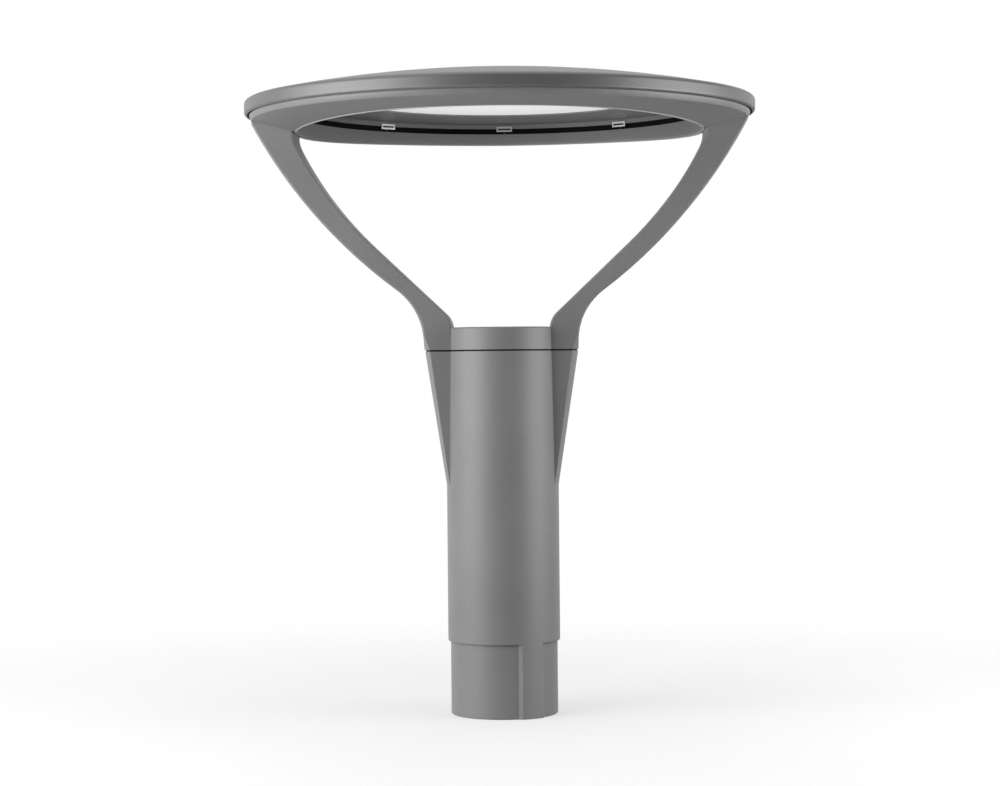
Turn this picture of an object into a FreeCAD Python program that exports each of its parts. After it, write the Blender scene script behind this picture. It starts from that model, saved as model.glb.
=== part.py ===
import FreeCAD, Part
import math
import os

# Post top light, millimetres. +Z is up, the origin is the centre of the spigot's lower rim,
# the two arms lie along X and the front of the light faces -Y.

# Gear sleeve: the round column that drops over the post
SLEEVE_R = 57.15
SLEEVE_WALL = 4.5
SLEEVE_TOP = 369.2
SPIGOT_R = 54.5
SPIGOT_H = 74.5
SPIGOT_WALL = 5.0
RIM_CHAMFER = 1.0
STEP_ROUND = 0.8
KEY_ANGLE = 32.0
KEY_WIDTH = 20.0
KEY_FLANK = 45.0

# Socket for the post's tenon, inside the spigot
SOCKET_R = 38.5
SOCKET_DEPTH = 95.0
SOCKET_WALL = 5.0
SOCKET_LEAD = 1.5
STOP_T = 6.0
STOP_HOLE_R = 28.0
WEB_COUNT = 6
WEB_T = 5.0
GRUB_D = 10.0
GRUB_LENGTH = 13.0
GRUB_Z = 38.0
GRUB_SPREAD = 30.0
GRUB_BOSS_D = 20.0

# Side fins, which carry the arms' line down the sleeve
FIN_FOOT = 136.0
FIN_REACH = 21.0
BLADE_HALF = 25.8
BLADE_TAPER = 0.0354

# Collar, arms and ring: one casting
JOINT_T = 1.6
JOINT_INSET = 0.9
COLLAR_H = 22.7
COLLAR_ROUND = 1.2
COLLAR_PLATE = 7.5
COLLAR_WALL = 6.0
ARM_FOOT_R = 66.5
ARM_FOOT_LIFT = 7.6
FOOT_STEP = 0.4
ARM_OUTER_R = 510.0
ARM_INNER_LEAN = 46.5
ARM_INNER_FOOT_R = 21.9
ARM_INNER_INSET = 7.65
ARM_INNER_SINK = 1.5
ARM_INNER_BEND = 70.0
ARM_INNER_TOP = 11.6
ARM_INNER_LIP = 2.2
ARM_LIP_BEND = 30.0
ARM_ROUND = 2.0
ARM_FACE_LEAN = 20.0
ARM_FACE_H = 30.0
RING_Z = 604.2
RING_HEM_GAP = 2.0
RING_FLARE = 2.4
RING_WIDTH = 46.1
RING_SHOULDER_H = 5.5
RING_PLATE = 4.0
RING_WALL = 4.0
LIP_DROP = 5.2
LIP_ROUND = 1.8
LIP_DRAFT = 1.5
LIP_H = 11.9
LIP_FLANGE = 8.0
LIP_FLANGE_T = 3.0
UPSTAND_H = 5.5
UPSTAND_STEP = 3.6
HAUNCH_DROP = 6.5
HAUNCH_POWER = 3
QUARTER_COUNT = 12

# Roof cover
ROOF_R = 260.0
ROOF_EDGE = 4.0
ROOF_SHOULDER = 16.2
ROOF_RISE = 31.3
ROOF_T = 3.0
ROOF_HEM = 5.4
ROOF_GASKET_T = 2.0
RIB_COUNT = 12
RIB_T = 3.0
RIB_INNER = 20.0

# Light panel under the roof
FRAME_FLANGE = 9.0
FRAME_RIM_IN = 0.3
FRAME_SHEET = 1.5
FRAME_RIM_H = 4.4
FRAME_GROOVE = 1.6
FRAME_SLIT = 1.2
FRAME_SLIT_DEPTH = 1.4
FRAME_CONE = 2.4
FRAME_LEDGE = 8.0
FRAME_FACE = 55.0
PANEL_T = 3.0
PANEL_SEAT = 6.0
PANEL_GASKET_H = 5.9
SPREADER_IN = 28.2
SPREADER_T = 2.5
SPREADER_GAP = 0.6
BOARD_IN = 10.0
BOARD_T = 1.6
BOARD_SCREW_COUNT = 6
BOARD_SCREW_IN = 37.5
BOARD_SCREW_D = 3.0
BOARD_SCREW_HOLE = 3.4
BOARD_SCREW_BITE = 3.5
BOARD_BOSS_R = 4.0
SKIRT_T = 0.8
CHIP = 3.5
CHIP_T = 1.0
CHIP_RING_COUNT = 3
CHIP_STEP_COUNT = 6
CHIP_EDGE = 22.0
CLIP_SIDE_COUNT = 5
CLIP_PITCH = 37.6
CLIP_W = 17.0
CLIP_BAR = 1.9
CLIP_END = 1.4
CLIP_T = 1.0
CLIP_H = 5.8
CLIP_DROP = 3.5
CLIP_FOOT_W = 2.4
CLIP_CLEAR = 0.1

# Roof fixings: ears on the ring, inside the light panel's rim
EAR_COUNT = 5
EAR_W = 16.0
EAR_T = 3.0
EAR_IN = 10.5
EAR_POST = 5.0
EAR_CLEAR = 1.0
EAR_GAP = 1.0
ROOF_SCREW_D = 4.0
ROOF_SCREW_L = 8.0

# Collar bolts
BOLT_D = 6.0
BOLT_HOLE = 6.6
BOLT_HEAD_D = 10.0
BOLT_HEAD_H = 6.0
BOLT_SINK_D = 11.0
BOLT_SINK_H = 7.0
BOLT_L = 38.0
BOLT_PITCH_R = 41.0
BOLT_BOSS_R = 8.0

# Control gear in the sleeve
TRAY_W = 76.0
TRAY_T = 2.0
TRAY_Y = 18.0
TRAY_BASE_GAP = 3.0
TRAY_H = 226.0
TRAY_FLANGE = 11.0
TRAY_SCREW_IN = 21.0
TRAY_SCREW_D = 5.0
TRAY_BOSS_R = 6.0
DRIVER_W = 58.0
DRIVER_D = 30.0
DRIVER_H = 140.0
DRIVER_FOOT = 8.0
DRIVER_FOOT_T = 2.0
DRIVER_LIFT = 48.0
DRIVER_ROUND = 3.0
TERMINAL_W = 26.0
TERMINAL_D = 15.0
TERMINAL_H = 24.0
SURGE_W = 26.0
SURGE_D = 22.0
SURGE_H = 32.0
GEAR_GAP = 8.0
GEAR_LIFT = 6.0
STUD_D = 5.0
STUD_L = 16.0
STUD_IN = 12.0

# Lead from the driver to the panel, drawn through one arm
LEAD_D = 4.5
LEAD_WAY_D = 8.0
LEAD_X = 14.0
LEAD_RISE = 30.6
LEAD_RISE_DROP = 32.2
LEAD_FOOT_IN = 10.5
LEAD_FOOT_DROP = 5.5
GROMMET_R = 7.0
GROMMET_T = 3.0
GROMMET_NECK = 5.0
BLOCK_L = 18.0
BLOCK_W = 14.0
BLOCK_H = 4.4
BLOCK_GAP = 2.0
BLOCK_PORT_D = 2.2
LEAD_OVER = 2.0
WIRE_D = 1.6
WIRE_CLEAR = 0.3
WIRE_PITCH = 5.0
GLAND_H = 6.0
GLAND_R = 5.0

V = FreeCAD.Vector
UP = V(0, 0, 1)

# Levels and radii that follow from the sizes above
COLLAR_BASE = SLEEVE_TOP + JOINT_T
COLLAR_TOP = COLLAR_BASE + COLLAR_H
BORE_R = SLEEVE_R - SLEEVE_WALL
ARM_INNER_X = SLEEVE_R - ARM_INNER_INSET
RING_SHOULDER_R = ROOF_R - ROOF_T - RING_HEM_GAP
RING_R = RING_SHOULDER_R - RING_FLARE
UPSTAND_R = RING_SHOULDER_R - UPSTAND_STEP
LIP_R = RING_R - RING_WIDTH
FRAME_RIM_R = LIP_R + FRAME_RIM_IN
FRAME_R = LIP_R + FRAME_FLANGE
STOP_TOP = SOCKET_DEPTH + STOP_T
LIP_Z = RING_Z - LIP_DROP
LIP_TOP = LIP_Z + LIP_H
SHOULDER_Z = RING_Z + RING_SHOULDER_H
UPSTAND_TOP = SHOULDER_Z + UPSTAND_H
ROOF_EDGE_Z = RING_Z + ROOF_SHOULDER
ROOF_TOP = ROOF_EDGE_Z + ROOF_RISE
ROOF_SPAN = ROOF_R - ROOF_EDGE
DOME_R = (ROOF_SPAN ** 2 + ROOF_RISE ** 2 - ROOF_EDGE ** 2) / (2 * (ROOF_RISE - ROOF_EDGE))
DOME_Z = ROOF_TOP - DOME_R
FRAME_Z = LIP_TOP + PANEL_GASKET_H
RIM_TOP = FRAME_Z + FRAME_RIM_H
RIM_Z = RIM_TOP + FRAME_SLIT
PANEL_Z = RIM_Z + FRAME_CONE
FRAME_TOP = RIM_Z + FRAME_SHEET
FACE_R = FRAME_RIM_R - FRAME_GROOVE
PANEL_R = FACE_R - FRAME_FACE
SPREADER_R = PANEL_R - SPREADER_IN
BOARD_R = SPREADER_R - BOARD_IN
BOARD_SCREW_R = BOARD_R - BOARD_SCREW_IN
CHIP_RING_PITCH = (BOARD_R - CHIP_EDGE) / CHIP_RING_COUNT
PANEL_TOP = PANEL_Z + FRAME_SHEET + PANEL_T


def ceiling(r):
    """Height of the roof's underside at radius r."""
    return DOME_Z + math.sqrt((DOME_R - ROOF_T) ** 2 - r ** 2)


SPREADER_TOP = ceiling(SPREADER_R) - SPREADER_GAP
SPREADER_Z = SPREADER_TOP - SPREADER_T
BOARD_Z = SPREADER_Z - BOARD_T
EAR_Z = FRAME_TOP + EAR_GAP
EAR_TOP = EAR_Z + EAR_T
EAR_R = LIP_R - EAR_IN
TRAY_Z = STOP_TOP + TRAY_BASE_GAP
TRAY_TOP = TRAY_Z + TRAY_H
DRIVER_Z = TRAY_Z + DRIVER_LIFT
DRIVER_TOP = DRIVER_Z + DRIVER_H
LEAD_RISE_X = RING_R - LEAD_RISE
LEAD_Z = FRAME_TOP + LEAD_OVER + LEAD_D / 2


def cyl(r, z0, z1, x=0.0, y=0.0):
    """Upright cylinder between two heights."""
    return Part.makeCylinder(r, z1 - z0, V(x, y, z0))


def pipe(r_out, r_in, z0, z1):
    """Upright tube between two heights."""
    return cyl(r_out, z0, z1).cut(cyl(r_in, z0 - 1, z1 + 1))


def block(x0, x1, y0, y1, z0, z1):
    """Box between two corners."""
    return Part.makeBox(x1 - x0, y1 - y0, z1 - z0, V(x0, y0, z0))


def at(r, degrees, z=0.0):
    """Point at a radius and an angle from +X."""
    a = math.radians(degrees)
    return V(r * math.cos(a), r * math.sin(a), z)


def turned(shape, degrees):
    """Copy of a shape turned about the light's axis."""
    copy = shape.copy()
    copy.rotate(V(0, 0, 0), UP, degrees)
    return copy


def ring_of(shape, count, start=0.0):
    """Copies of a shape, evenly spaced about the light's axis."""
    return [turned(shape, start + 360.0 * i / count) for i in range(count)]


def aimed(shape, position, direction):
    """Copy of a shape made along +Z, moved and aimed along a direction."""
    copy = shape.copy()
    copy.Placement = FreeCAD.Placement(position, FreeCAD.Rotation(UP, direction))
    return copy


def mirrored(shape, axis):
    """Mirror image of a shape in the plane through the origin."""
    return shape.mirror(V(0, 0, 0), axis)


def flat(*steps):
    """Face in the XZ plane from points, where (mid, end) pairs are arcs."""
    start = steps[0]
    here = start
    edges = []
    for step in list(steps[1:]) + [start]:
        arc = isinstance(step[0], tuple)
        end = step[1] if arc else step
        a = V(here[0], 0, here[1])
        b = V(end[0], 0, end[1])
        if arc:
            edges.append(Part.Arc(a, V(step[0][0], 0, step[0][1]), b).toShape())
        elif a.distanceToPoint(b) > 1e-6:
            edges.append(Part.makeLine(a, b))
        here = end
    return Part.Face(Part.Wire(edges))


def spun(*steps):
    """Solid of revolution about the light's axis."""
    return flat(*steps).revolve(V(0, 0, 0), UP, 360)


def fused(first, rest):
    """One solid from overlapping shapes, without leftover seams."""
    return first.fuse(rest).removeSplitter()


def route(points):
    """Wire through points, with each corner rounded as wide as its runs allow."""
    edges = []
    here = points[0]
    for before, corner, after in zip(points, points[1:], points[2:]):
        back = before - corner
        on = after - corner
        run = 0.45 * min(back.Length, on.Length)
        back.normalize()
        on.normalize()
        half = back.getAngle(on) / 2
        if math.cos(half) < 1e-4:
            continue
        enter = corner + back * run
        leave = corner + on * run
        inward = (back + on).normalize()
        radius = run * math.tan(half)
        middle = corner + inward * (run / math.cos(half) - radius)
        edges.append(Part.makeLine(here, enter))
        edges.append(Part.Arc(enter, middle, leave).toShape())
        here = leave
    edges.append(Part.makeLine(here, points[-1]))
    return Part.Wire(edges)


def drawn(points, radius):
    """Round bar along a route."""
    path = route(points)
    aim = points[1] - points[0]
    hoop = Part.Wire(Part.makeCircle(radius, points[0], aim))
    return path.makePipeShell([hoop], True, False)


def cap_screw(d, length, head_d, head_h):
    """Socket head screw along +Z with its seat at zero."""
    head = Part.makeCylinder(head_d / 2, head_h)
    key = hexagon(d * 0.42, head_h * 0.45, head_h + 1)
    shank = Part.makeCylinder(d / 2, length, V(0, 0, -length))
    return fused(head.cut(key), [shank])


def hexagon(r, z0, z1):
    """Upright hexagonal prism of corner radius r."""
    corners = [at(r, 60 * i, z0) for i in range(7)]
    return Part.Face(Part.makePolygon(corners)).extrude(V(0, 0, z1 - z0))


def pan_screw(d, length):
    """Pan head screw along +Z with its seat at zero and a cross recess."""
    head = Part.makeCylinder(d, d * 0.6)
    for turn in (0, 90):
        slot = block(-d * 0.55, d * 0.55, -d * 0.12, d * 0.12, d * 0.3, d)
        head = head.cut(turned(slot, turn))
    shank = Part.makeCylinder(d / 2, length, V(0, 0, -length))
    return fused(head, [shank])


def sunk_screw(d, length):
    """Countersunk screw along +Z with its flat top at zero."""
    cone = Part.makeCone(d / 2, d, d / 2, V(0, 0, -d / 2))
    slot = block(-d * 0.6, d * 0.6, -d * 0.12, d * 0.12, -d * 0.25, 1)
    shank = Part.makeCylinder(d / 2, length - d / 2, V(0, 0, -length))
    return fused(cone, [shank]).cut(slot)


def blade_gap(inset=0.0):
    """Wedge between the front and back planes of the fins and arms."""
    low = SPIGOT_H
    high = ROOF_TOP
    a = BLADE_HALF - inset + BLADE_TAPER * (low - SLEEVE_TOP)
    b = BLADE_HALF - inset + BLADE_TAPER * (high - SLEEVE_TOP)
    half = ROOF_R + BLADE_HALF
    corners = [V(-half, -a, low), V(-half, a, low), V(-half, b, high), V(-half, -b, high)]
    corners.append(corners[0])
    return Part.Face(Part.makePolygon(corners)).extrude(V(2 * half, 0, 0))


def disc_along(r, x, z, shift, rise):
    """Leaning round bar with level ends."""
    hoop = Part.Wire(Part.makeCircle(r, V(x, 0, z), UP))
    return Part.Face(hoop).extrude(V(shift, 0, rise))


def fins(inset=0.0):
    """Both side fins, as leaning copies of the sleeve cut to a blade."""
    foot = SLEEVE_TOP - FIN_FOOT
    right = disc_along(SLEEVE_R - inset, 0, foot, FIN_REACH, FIN_FOOT).common(blade_gap(inset))
    return [right, mirrored(right, V(1, 0, 0))]


def bolt_points(z):
    """Centres of the collar bolts."""
    return [at(BOLT_PITCH_R, 45 + 90 * i, z) for i in range(4)]


def tray_screw_heights():
    """Heights of the two screws that hold the gear tray."""
    return [TRAY_Z + TRAY_SCREW_IN, TRAY_TOP - TRAY_SCREW_IN]


def grub_angles():
    """Directions of the post's grub screws, at the back of the spigot."""
    return [90 - GRUB_SPREAD, 90 + GRUB_SPREAD]


def key_rib():
    """Raised key on the spigot, flush with the sleeve."""
    depth = SLEEVE_R - SPIGOT_R
    flare = depth / math.tan(math.radians(KEY_FLANK))
    half = KEY_WIDTH / 2
    inner = SPIGOT_R - SPIGOT_WALL / 2
    base = half + flare * (SLEEVE_R - inner) / depth
    corners = [V(inner, -base, 0), V(SLEEVE_R + 1, -half, 0), V(SLEEVE_R + 1, half, 0), V(inner, base, 0)]
    corners.append(corners[0])
    bar = Part.Face(Part.makePolygon(corners)).extrude(V(0, 0, SPIGOT_H + 1))
    return turned(bar.common(cyl(SLEEVE_R, 0, SPIGOT_H + 1)), KEY_ANGLE - 90)


def gear_sleeve():
    """Cast sleeve: column with fins, keyed spigot, post socket and inner bosses."""
    column = spun((0, 0), (SPIGOT_R - RIM_CHAMFER, 0), (SPIGOT_R, RIM_CHAMFER), (SPIGOT_R, SPIGOT_H),
                  (SLEEVE_R - STEP_ROUND, SPIGOT_H), (SLEEVE_R, SPIGOT_H + STEP_ROUND),
                  (SLEEVE_R, SLEEVE_TOP), (0, SLEEVE_TOP))
    body = fused(column, fins() + [key_rib()])
    body = body.cut(cyl(BORE_R, STOP_TOP, SLEEVE_TOP + 1))
    pocket = pipe(SPIGOT_R - SPIGOT_WALL, SOCKET_R + SOCKET_WALL, -1, SOCKET_DEPTH)
    web = block(SOCKET_R, SPIGOT_R, -WEB_T / 2, WEB_T / 2, -1, SOCKET_DEPTH)
    webs = ring_of(web, WEB_COUNT, 30)
    boss = Part.makeCylinder(GRUB_BOSS_D / 2, SPIGOT_R - SOCKET_R, V(0, 0, SOCKET_R))
    grub_bosses = [aimed(boss, V(0, 0, GRUB_Z), at(1, a)) for a in grub_angles()]
    body = body.cut(pocket.cut(webs + grub_bosses))
    body = body.cut(spun((0, -1), (SOCKET_R + SOCKET_LEAD + 1, -1), (SOCKET_R, SOCKET_LEAD),
                         (SOCKET_R, SOCKET_DEPTH), (0, SOCKET_DEPTH)))
    body = body.cut(cyl(STOP_HOLE_R, SOCKET_DEPTH - 1, STOP_TOP + 1))
    hole = Part.makeCylinder(GRUB_D / 2, SLEEVE_R, V(0, 0, SOCKET_R / 2))
    body = body.cut([aimed(hole, V(0, 0, GRUB_Z), at(1, a)) for a in grub_angles()])
    shell = cyl(SLEEVE_R - 1, STOP_TOP, SLEEVE_TOP)
    bolt_base = SLEEVE_TOP - BOLT_L + COLLAR_H - BOLT_SINK_H - JOINT_T
    lugs = []
    for p in bolt_points(bolt_base):
        lugs.append(Part.makeCylinder(BOLT_BOSS_R, SLEEVE_TOP - bolt_base, p))
    for i in range(4):
        arm = block(BOLT_PITCH_R, SLEEVE_R, -BOLT_BOSS_R, BOLT_BOSS_R, bolt_base, SLEEVE_TOP)
        lugs.append(turned(arm, 45 + 90 * i).common(shell))
    for z in tray_screw_heights():
        post = Part.makeCylinder(TRAY_BOSS_R, SLEEVE_R - 1, V(0, 0, 0))
        post = aimed(post, V(0, TRAY_Y + TRAY_T, z), V(0, 1, 0))
        lugs.append(post.common(shell))
    body = fused(body, lugs)
    threads = [Part.makeCylinder(BOLT_D / 2, SLEEVE_TOP - bolt_base, p + V(0, 0, 3)) for p in bolt_points(bolt_base)]
    bit = Part.makeCylinder(TRAY_SCREW_D / 2, TRAY_SCREW_D * 3)
    for z in tray_screw_heights():
        threads.append(aimed(bit, V(0, TRAY_Y + TRAY_T, z), V(0, 1, 0)))
    return body.cut(threads)


def post_grubs():
    """Two grub screws that clamp the post's tenon."""
    body = Part.makeCylinder(GRUB_D / 2, GRUB_LENGTH)
    body = body.cut(hexagon(GRUB_D * 0.28, GRUB_LENGTH * 0.6, GRUB_LENGTH + 1))
    out = SOCKET_R + 0.8
    return [aimed(body, at(out, a, GRUB_Z), at(1, a)) for a in grub_angles()]


def collar_gasket():
    """Sheet gasket between the sleeve and the collar, set in a little all round."""
    sheet = cyl(SLEEVE_R - JOINT_INSET, SLEEVE_TOP, COLLAR_BASE)
    slab = block(-ROOF_R, ROOF_R, -ROOF_R, ROOF_R, SLEEVE_TOP, COLLAR_BASE)
    tips = []
    for side in (1, -1):
        bar = disc_along(SLEEVE_R - JOINT_INSET, side * FIN_REACH, SLEEVE_TOP, 0, JOINT_T)
        tips.append(bar.common(blade_gap(JOINT_INSET)).common(slab))
    sheet = fused(sheet, tips)
    holes = [cyl(BOLT_PITCH_R - BOLT_BOSS_R, SLEEVE_TOP - 1, COLLAR_BASE + 1)]
    holes += [Part.makeCylinder(BOLT_HOLE / 2, JOINT_T + 2, p) for p in bolt_points(SLEEVE_TOP - 1)]
    return sheet.cut(holes)


def arm_outline():
    """Side outline of the right arm, from its foot in the collar to the ring's plate."""
    high = RING_Z + RING_PLATE / 2
    # The long outer arc passes the ring's corner and rolls into the foot arc, which stands upright
    foot_x = SLEEVE_R + FIN_REACH + FOOT_STEP
    foot_z = COLLAR_BASE + ARM_FOOT_LIFT
    foot_centre_x = foot_x + ARM_FOOT_R
    span = ARM_FOOT_R + ARM_OUTER_R
    chord_x = foot_centre_x - RING_R
    chord_z = foot_z - RING_Z
    chord = math.hypot(chord_x, chord_z)
    cosine = (chord ** 2 + ARM_OUTER_R ** 2 - span ** 2) / (2 * chord * ARM_OUTER_R)
    bearing = math.atan2(chord_z, chord_x) - math.acos(cosine)
    centre_x = RING_R + ARM_OUTER_R * math.cos(bearing)
    centre_z = RING_Z + ARM_OUTER_R * math.sin(bearing)
    start = math.atan2(foot_z - centre_z, foot_centre_x - centre_x)
    finish = math.asin((high - centre_z) / ARM_OUTER_R)
    middle = (start + finish) / 2
    join = (centre_x + ARM_OUTER_R * math.cos(start), centre_z + ARM_OUTER_R * math.sin(start))
    outer_mid = (centre_x + ARM_OUTER_R * math.cos(middle), centre_z + ARM_OUTER_R * math.sin(middle))
    outer_top = (centre_x + ARM_OUTER_R * math.cos(finish), high)
    turn = math.asin((join[1] - foot_z) / ARM_FOOT_R) / 2
    foot_mid = (foot_centre_x - ARM_FOOT_R * math.cos(turn), foot_z + ARM_FOOT_R * math.sin(turn))
    # The inner side rises from the collar, runs straight at its lean and bends up to the lip
    lean = math.radians(ARM_INNER_LEAN)
    rise_z = COLLAR_TOP - ARM_INNER_SINK
    knee_x = ARM_INNER_X + ARM_INNER_FOOT_R * (1 - math.cos(lean))
    knee_z = rise_z + ARM_INNER_FOOT_R * math.sin(lean)
    knee_mid = (ARM_INNER_X + ARM_INNER_FOOT_R * (1 - math.cos(lean / 2)),
                rise_z + ARM_INNER_FOOT_R * math.sin(lean / 2))
    bend_x = knee_x + ARM_INNER_BEND * math.tan(lean)
    bend_z = knee_z + ARM_INNER_BEND
    inner_top = (LIP_R + ARM_INNER_TOP, high)
    turn_in = lean - math.atan2(inner_top[0] - bend_x, high - bend_z)
    bend_r = math.hypot(inner_top[0] - bend_x, high - bend_z) / (2 * math.sin(turn_in))
    lip_x = LIP_R + ARM_INNER_LIP
    spare = bend_r - ARM_LIP_BEND
    lip_lean = math.acos((lip_x - bend_x + bend_r * math.cos(lean) - ARM_LIP_BEND) / spare)
    mid_lean = (lean + lip_lean) / 2
    bend_mid = (bend_x + bend_r * (math.cos(mid_lean) - math.cos(lean)),
                bend_z + bend_r * (math.sin(lean) - math.sin(mid_lean)))
    # Under the lip the inner side turns upright
    lip_start = (bend_x + bend_r * (math.cos(lip_lean) - math.cos(lean)),
                 bend_z + bend_r * (math.sin(lean) - math.sin(lip_lean)))
    lip_end = (lip_x, lip_start[1] + ARM_LIP_BEND * math.sin(lip_lean))
    lip_mid = (lip_x - ARM_LIP_BEND * (1 - math.cos(lip_lean / 2)),
               lip_end[1] - ARM_LIP_BEND * math.sin(lip_lean / 2))
    return ((ARM_INNER_X, COLLAR_BASE), (foot_x, COLLAR_BASE), (foot_x, foot_z), (foot_mid, join),
            (outer_mid, outer_top), (lip_x, high), lip_end, (lip_mid, lip_start),
            (bend_mid, (bend_x, bend_z)), (knee_x, knee_z), (knee_mid, (ARM_INNER_X, rise_z)))


def right_arm():
    """One arm: a blade with rounded long edges, its foot faced like the fin below it."""
    half = BLADE_HALF * 3
    blade = flat(*arm_outline()).extrude(V(0, 2 * half, 0))
    blade.translate(V(0, -half, 0))
    blade = blade.common(blade_gap())
    long_edges = []
    for edge in blade.Edges:
        if abs(edge.CenterOfMass.y) > BLADE_HALF * 0.6 and edge.BoundBox.ZLength > 1:
            long_edges.append(edge)
    blade = blade.makeFillet(ARM_ROUND, long_edges)
    cap = COLLAR_BASE + ARM_FACE_H
    shift = ARM_FACE_H * math.tan(math.radians(ARM_FACE_LEAN))
    face = disc_along(SLEEVE_R, FIN_REACH + FOOT_STEP, COLLAR_BASE, shift, ARM_FACE_H)
    beyond = block(0, RING_R, -half, half, COLLAR_BASE - 1, cap).cut(face)
    outside = pipe(RING_R + half, RING_R, RING_Z - half, ROOF_TOP)
    return blade.cut(beyond).cut(outside)


def ring_section(degrees):
    """Section of the ring at an angle from the arms: an open channel whose lip dips towards the arms."""
    dip = HAUNCH_DROP * math.cos(math.radians(degrees)) ** HAUNCH_POWER
    level = LIP_Z - dip
    wall_x = LIP_R + LIP_DRAFT
    bead = LIP_ROUND * (1 - math.sqrt(0.5))
    plate_in = LIP_Z + RING_PLATE
    plate_out = RING_Z + RING_PLATE
    up_in = UPSTAND_R - RING_WALL
    ease = (RING_R + RING_FLARE * 0.62, RING_Z + RING_SHOULDER_H * 0.42)
    face = flat((LIP_R, level + LIP_ROUND), ((LIP_R + bead, level + bead), (LIP_R + LIP_ROUND, level)),
                (RING_R, RING_Z), (ease, (RING_SHOULDER_R, SHOULDER_Z)), (UPSTAND_R, SHOULDER_Z),
                (UPSTAND_R, UPSTAND_TOP), (up_in, UPSTAND_TOP), (up_in, plate_out),
                (wall_x + RING_WALL, plate_in), (wall_x + RING_WALL, LIP_TOP - LIP_FLANGE_T),
                (wall_x + LIP_FLANGE, LIP_TOP - LIP_FLANGE_T), (wall_x + LIP_FLANGE, LIP_TOP), (wall_x, LIP_TOP))
    return turned(face.OuterWire, degrees)


def ring():
    """Ring under the roof in four like quarters, from the arms to the front and the back."""
    sections = [ring_section(90.0 * i / QUARTER_COUNT) for i in range(QUARTER_COUNT + 1)]
    quarter = Part.makeLoft(sections, True, False)
    half = [quarter, mirrored(quarter, V(0, 1, 0))]
    return half + [mirrored(q, V(1, 0, 0)) for q in half]


def ear():
    """Roof fixing ear: a post outside the panel's rim that reaches inward above it."""
    post_in = FRAME_R + EAR_CLEAR
    post_out = post_in + EAR_POST
    post = block(post_in, post_out, -EAR_W / 2, EAR_W / 2, LIP_Z + RING_PLATE / 2, EAR_TOP)
    foot = block(LIP_R + LIP_DRAFT + 2, post_out, -EAR_W / 2, EAR_W / 2, LIP_Z + RING_PLATE / 2, LIP_TOP - 1)
    bar = block(EAR_R - EAR_W / 2, post_out, -EAR_W / 2, EAR_W / 2, EAR_Z, EAR_TOP)
    return fused(post, [foot, bar])


def ear_angles():
    """Directions of the ears, midway between panel clips and clear of the lead's arm."""
    return [36 + 360.0 * i / EAR_COUNT for i in range(EAR_COUNT)]


def lead_points():
    """Route of the lead from the driver, through the right arm and over the panel's rim."""
    outline = arm_outline()
    foot_mid, join = outline[3]
    outer_mid = outline[4][0]
    bend_mid, bend = outline[8]
    plan = [(LEAD_X, DRIVER_TOP + GLAND_H), (LEAD_X, SLEEVE_TOP - JOINT_T)]
    plan.append((ARM_INNER_X + LEAD_FOOT_IN, COLLAR_TOP - LEAD_FOOT_DROP))
    plan += [halfway(foot_mid, outline[9]), halfway(join, bend), halfway(outer_mid, bend_mid)]
    plan += [(LEAD_RISE_X, RING_Z - LEAD_RISE_DROP), (LEAD_RISE_X, LEAD_Z), (block_start() + BLOCK_L, LEAD_Z)]
    return [V(x, 0, z) for x, z in plan]


def halfway(a, b):
    """Point midway between two points of an outline."""
    return ((a[0] + b[0]) / 2, (a[1] + b[1]) / 2)


def block_start():
    """Inner end of the connector block on the panel's frame."""
    return PANEL_R + FRAME_LEDGE + BLOCK_GAP


def block_base():
    """Underside of the connector block, on the sloping face of the panel's frame."""
    slope = FRAME_CONE / (FACE_R - PANEL_R - FRAME_LEDGE)
    return PANEL_Z + FRAME_SHEET - slope * BLOCK_GAP


def arm_frame():
    """Casting of collar, two arms and ring."""
    collar = spun((0, COLLAR_BASE), (SLEEVE_R, COLLAR_BASE), (SLEEVE_R, COLLAR_TOP - COLLAR_ROUND),
                  (SLEEVE_R - COLLAR_ROUND, COLLAR_TOP), (0, COLLAR_TOP))
    inside = cyl(SLEEVE_R - COLLAR_WALL, COLLAR_BASE - 1, COLLAR_TOP - COLLAR_PLATE)
    lugs = [Part.makeCylinder(BOLT_BOSS_R, COLLAR_H, p) for p in bolt_points(COLLAR_BASE)]
    arm = right_arm()
    ears = [turned(ear(), a) for a in ear_angles()]
    body = collar.fuse([arm, mirrored(arm, V(1, 0, 0))] + ring())
    body = body.fuse(ears)
    body = body.cut(inside.cut(lugs))
    holes = [Part.makeCylinder(BOLT_HOLE / 2, COLLAR_H + 2, p) for p in bolt_points(COLLAR_BASE - 1)]
    holes += [Part.makeCylinder(BOLT_SINK_D / 2, COLLAR_H, p) for p in bolt_points(COLLAR_TOP - BOLT_SINK_H)]
    holes.append(drawn(lead_points(), LEAD_WAY_D / 2))
    holes.append(cyl(GROMMET_R, grommet_z(), grommet_z() + GROMMET_T + 3, LEAD_RISE_X))
    for a in ear_angles():
        drill = Part.makeCylinder(ROOF_SCREW_D / 2 + 0.2, EAR_T + 2, at(EAR_R, a, EAR_Z - 1))
        sink = Part.makeCone(ROOF_SCREW_D, ROOF_SCREW_D / 2, ROOF_SCREW_D / 2, at(EAR_R, a, EAR_Z))
        holes += [drill, sink]
    return body.cut(holes)


def grommet_z():
    """Seat of the grommet in the ring's plate, above the right arm."""
    slope = LIP_DROP / (RING_R - LIP_R)
    return LIP_Z + slope * (LEAD_RISE_X - GROMMET_R - LIP_R) + RING_PLATE - 1.0


def collar_bolts():
    """Four socket head bolts sunk in the collar's top."""
    bolt = cap_screw(BOLT_D, BOLT_L - 1.0, BOLT_HEAD_D, BOLT_HEAD_H)
    return [aimed(bolt, p, UP) for p in bolt_points(COLLAR_TOP - BOLT_SINK_H)]


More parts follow.
